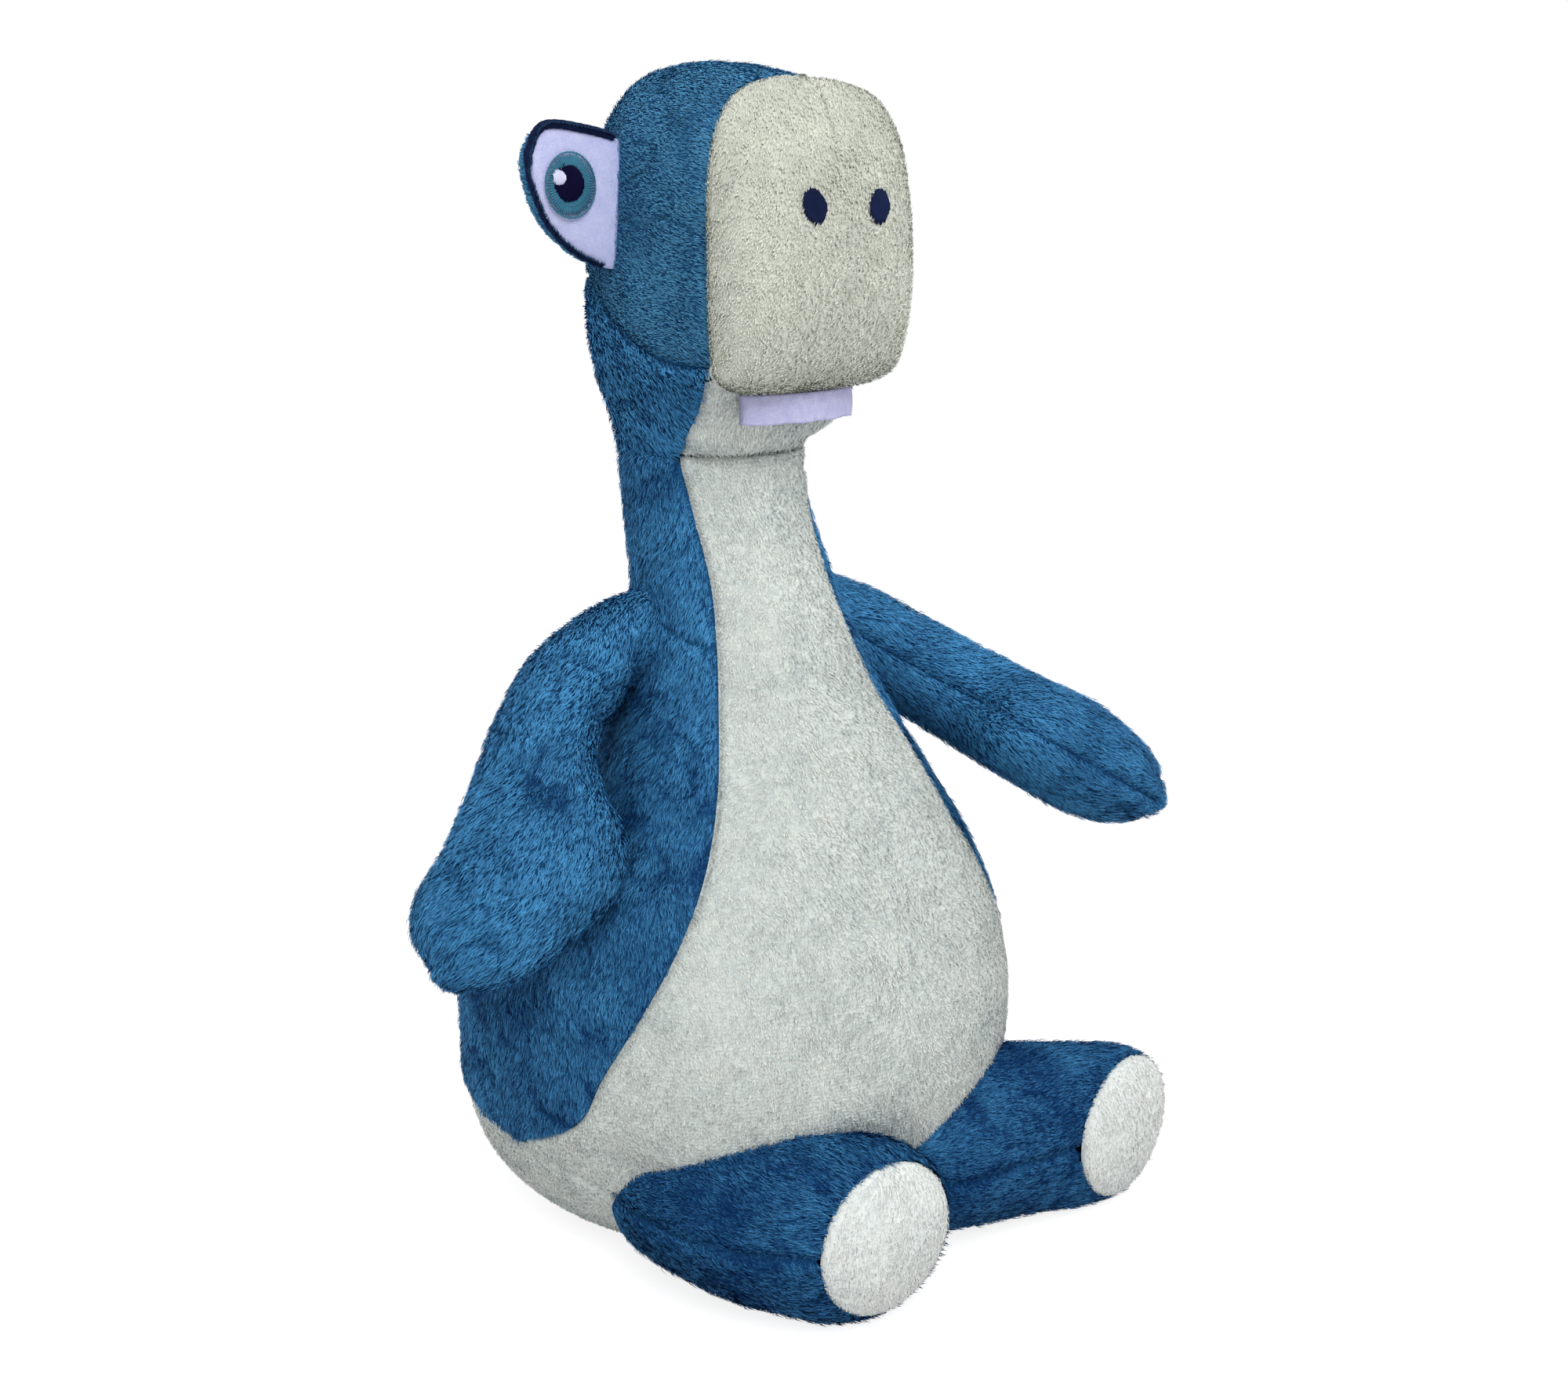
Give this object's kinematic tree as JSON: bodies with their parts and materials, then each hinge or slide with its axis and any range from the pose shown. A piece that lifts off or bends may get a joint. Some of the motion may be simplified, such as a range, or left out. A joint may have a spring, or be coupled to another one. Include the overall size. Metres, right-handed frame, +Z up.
{
  "type": "stuffed dinosaur",
  "caption": "Seated stuffed dinosaur toy with a pear-shaped body, long neck, box muzzle, side eyes, mitten arms, short legs and a tail, sewn from short pile fabric over stuffing",
  "frame": {"origin": "middle of the flat seat, on the floor under the body", "axes": "+Z up, the toy faces -Y, its right side is at -X"},
  "size_m": [0.2234, 0.2501, 0.3304],
  "materials": {
    "blue_pile": "short brushed pile, mid blue",
    "cream_pile": "short brushed pile, pale grey cream",
    "stuffing": "loose polyester fibre",
    "felt": "pale lilac felt",
    "eye_cloth": "smooth pale lilac cloth",
    "navy_thread": "dense navy embroidery",
    "teal_thread": "dense teal embroidery",
    "ink_thread": "dense dark violet embroidery",
    "white_thread": "dense white embroidery"
  },
  "bodies": {
    "torso": {"belly_panel": "cream_pile", "side_panel_right": "blue_pile", "side_panel_left": "blue_pile", "back_panel": "blue_pile", "base_panel": "cream_pile", "torso_stuffing": "stuffing"},
    "neck": {"throat_panel": "cream_pile", "neck_panel_right": "blue_pile", "neck_panel_left": "blue_pile", "neck_stuffing": "stuffing"},
    "head": {"head_panel_right": "blue_pile", "head_panel_left": "blue_pile", "nape_panel_right": "blue_pile", "nape_panel_left": "blue_pile", "muzzle_panel_right": "cream_pile", "muzzle_panel_left": "cream_pile", "jaw_panel": "cream_pile", "head_stuffing": "stuffing", "teeth_strip": "felt", "nostril_right": "navy_thread", "nostril_left": "navy_thread", "eye_white_right": "eye_cloth", "eye_pouch_right": "blue_pile", "iris_right": "teal_thread", "pupil_right": "ink_thread", "glint_right": "white_thread", "upper_lid_right": "navy_thread", "lower_lid_right": "navy_thread", "eye_white_left": "eye_cloth", "eye_pouch_left": "blue_pile", "iris_left": "teal_thread", "pupil_left": "ink_thread", "glint_left": "white_thread", "upper_lid_left": "navy_thread", "lower_lid_left": "navy_thread"},
    "arm_right": {"arm_outer_panel_right": "blue_pile", "arm_inner_panel_right": "blue_pile", "arm_stuffing_right": "stuffing"},
    "arm_left": {"arm_outer_panel_left": "blue_pile", "arm_inner_panel_left": "blue_pile", "arm_stuffing_left": "stuffing"},
    "leg_right": {"leg_upper_panel_right": "blue_pile", "leg_lower_panel_right": "blue_pile", "leg_stuffing_right": "stuffing", "sole_right": "cream_pile"},
    "leg_left": {"leg_upper_panel_left": "blue_pile", "leg_lower_panel_left": "blue_pile", "leg_stuffing_left": "stuffing", "sole_left": "cream_pile"},
    "tail": {"tail_panel_right": "blue_pile", "tail_panel_left": "blue_pile", "tail_stuffing": "stuffing"}
  },
  "joints": [
    {"name": "neck_bend", "type": "hinge", "parent": "torso", "child": "neck", "pos_m": [0, 0.001, 0.174], "axis": [1, 0, 0], "range_deg": [-15, 15]},
    {"name": "head_turn", "type": "hinge", "parent": "neck", "child": "head", "pos_m": [0, 0.0076, 0.226], "axis": [0, 0, 1], "range_deg": [-30, 30]},
    {"name": "arm_right_lift", "type": "hinge", "parent": "torso", "child": "arm_right", "pos_m": [-0.03, 0, 0.1885], "axis": [-0.2341, 0.9722, 0], "range_deg": [0, 50]},
    {"name": "arm_left_lift", "type": "hinge", "parent": "torso", "child": "arm_left", "pos_m": [0.03, 0.003, 0.1885], "axis": [-0.7799, -0.6259, 0], "range_deg": [0, 50]},
    {"name": "leg_right_lift", "type": "hinge", "parent": "torso", "child": "leg_right", "pos_m": [-0.04, -0.083, 0.054], "axis": [-1, 0, 0], "range_deg": [0, 45]},
    {"name": "leg_left_lift", "type": "hinge", "parent": "torso", "child": "leg_left", "pos_m": [0.034, -0.078, 0.054], "axis": [-0.8189, -0.5739, 0], "range_deg": [0, 45]},
    {"name": "tail_lift", "type": "hinge", "parent": "torso", "child": "tail", "pos_m": [0, 0.08, 0.054], "axis": [1, 0, 0], "range_deg": [0, 40]}
  ]
}
